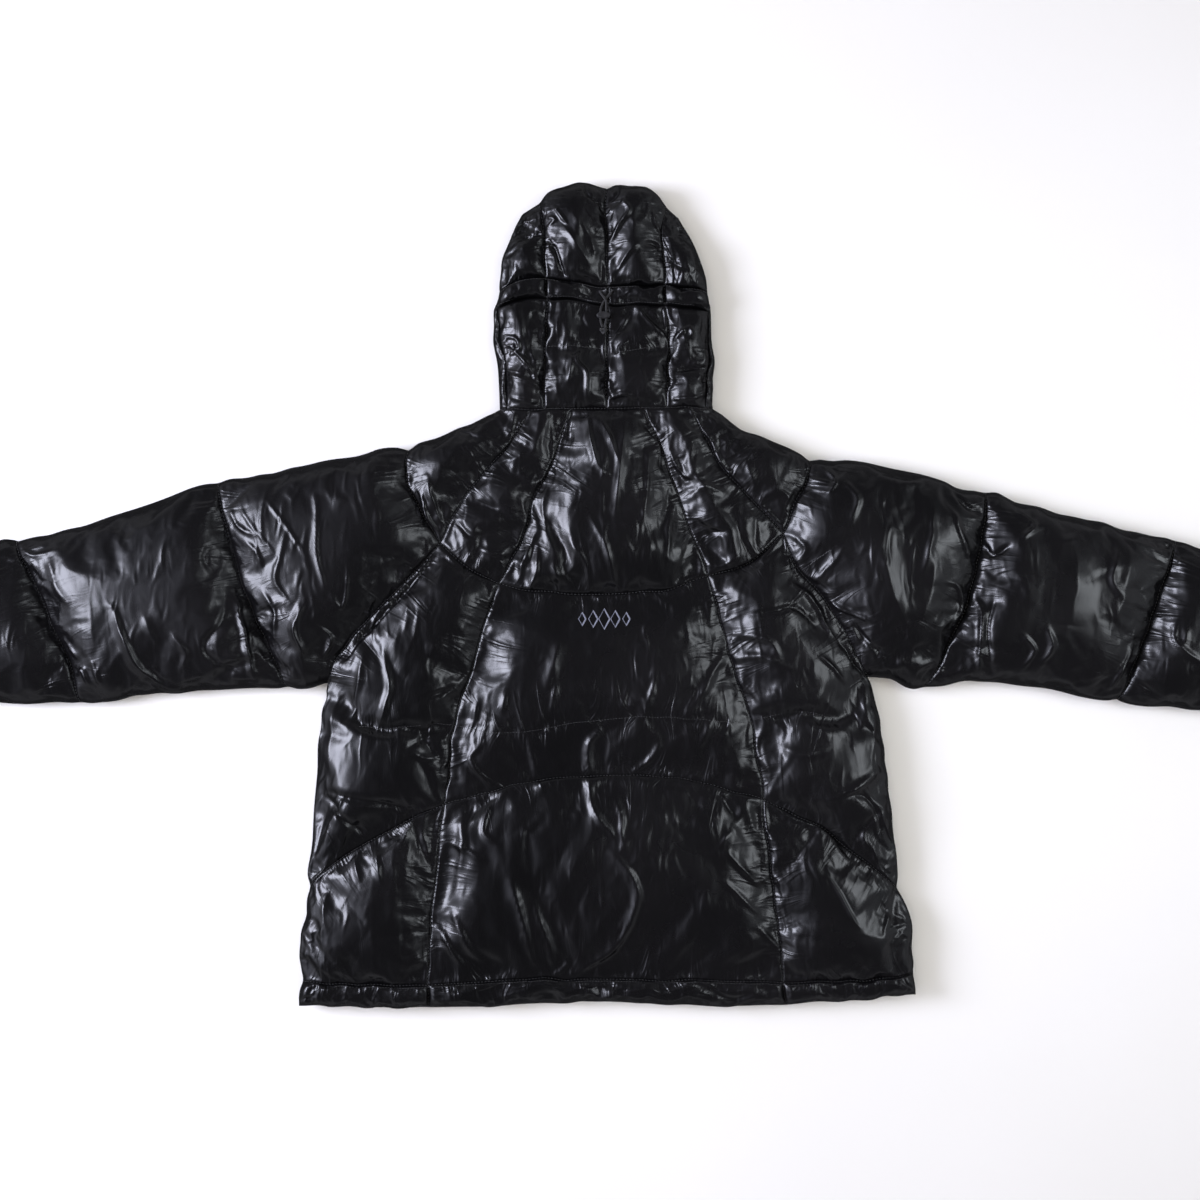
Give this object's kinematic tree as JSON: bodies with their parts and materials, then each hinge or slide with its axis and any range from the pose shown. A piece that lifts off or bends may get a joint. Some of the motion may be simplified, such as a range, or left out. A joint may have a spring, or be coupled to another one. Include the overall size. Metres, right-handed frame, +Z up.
{
  "type": "hooded puffer jacket",
  "caption": "Hooded puffer jacket laid flat on its front with sleeves spread: raglan padded panels, curved yoke, hood with drawcord tunnel, closed front zip.",
  "frame": {"origin": "under the middle of the jacket's box, on the surface that it lies on", "axes": "+Z up, away from that surface; +Y from the hem to the hood; +X across the shoulders, to the viewer's right as the back is seen from above"},
  "size_m": [1.738, 0.9061, 0.0742],
  "materials": {
    "black_nylon": "glossy coated woven nylon over soft padding",
    "zip_tape": "matt woven tape with a moulded coil",
    "elastic_cord": "matt braided cord",
    "cord_stopper": "matt moulded rubber",
    "black_metal": "black lacquered zinc"
  },
  "bodies": {
    "jacket": {"back_centre": "black_nylon", "back_lower": "black_nylon", "cord_lock": "cord_stopper", "cuff_left": "black_nylon", "cuff_right": "black_nylon", "drawcord_knot": "elastic_cord", "drawcord_left": "elastic_cord", "drawcord_right": "elastic_cord", "front_left": "black_nylon", "front_right": "black_nylon", "hem_back": "black_nylon", "hem_front_left": "black_nylon", "hem_front_right": "black_nylon", "hem_side_left": "black_nylon", "hem_side_right": "black_nylon", "hood_casing_left": "black_nylon", "hood_casing_right": "black_nylon", "hood_cheek_left": "black_nylon", "hood_cheek_right": "black_nylon", "hood_crown_left": "black_nylon", "hood_crown_right": "black_nylon", "hood_nape_left": "black_nylon", "hood_nape_right": "black_nylon", "hood_temple_left": "black_nylon", "hood_temple_right": "black_nylon", "hood_tunnel_left": "black_nylon", "hood_tunnel_right": "black_nylon", "hood_tunnel_side_left": "black_nylon", "hood_tunnel_side_right": "black_nylon", "hood_under_left": "black_nylon", "hood_under_right": "black_nylon", "shoulder_front_left": "black_nylon", "shoulder_front_right": "black_nylon", "shoulder_left": "black_nylon", "shoulder_right": "black_nylon", "side_lower_left": "black_nylon", "side_lower_right": "black_nylon", "side_upper_left": "black_nylon", "side_upper_right": "black_nylon", "sleeve_lower_front_left": "black_nylon", "sleeve_lower_front_right": "black_nylon", "sleeve_lower_left": "black_nylon", "sleeve_lower_right": "black_nylon", "sleeve_middle_front_left": "black_nylon", "sleeve_middle_front_right": "black_nylon", "sleeve_middle_left": "black_nylon", "sleeve_middle_right": "black_nylon", "sleeve_upper_front_left": "black_nylon", "sleeve_upper_front_right": "black_nylon", "sleeve_upper_left": "black_nylon", "sleeve_upper_right": "black_nylon", "yoke_centre": "black_nylon", "yoke_side_left": "black_nylon", "yoke_side_right": "black_nylon", "zip": "zip_tape", "zip_slider": "black_metal"},
    "pull_tab": {"zip_pull": "black_metal"}
  },
  "joints": [
    {"name": "pull_hinge", "type": "hinge", "parent": "jacket", "child": "pull_tab", "pos_m": [0, 0.1953, 0.0031], "axis": [1, 0, 0], "range_deg": [0, 150]}
  ]
}
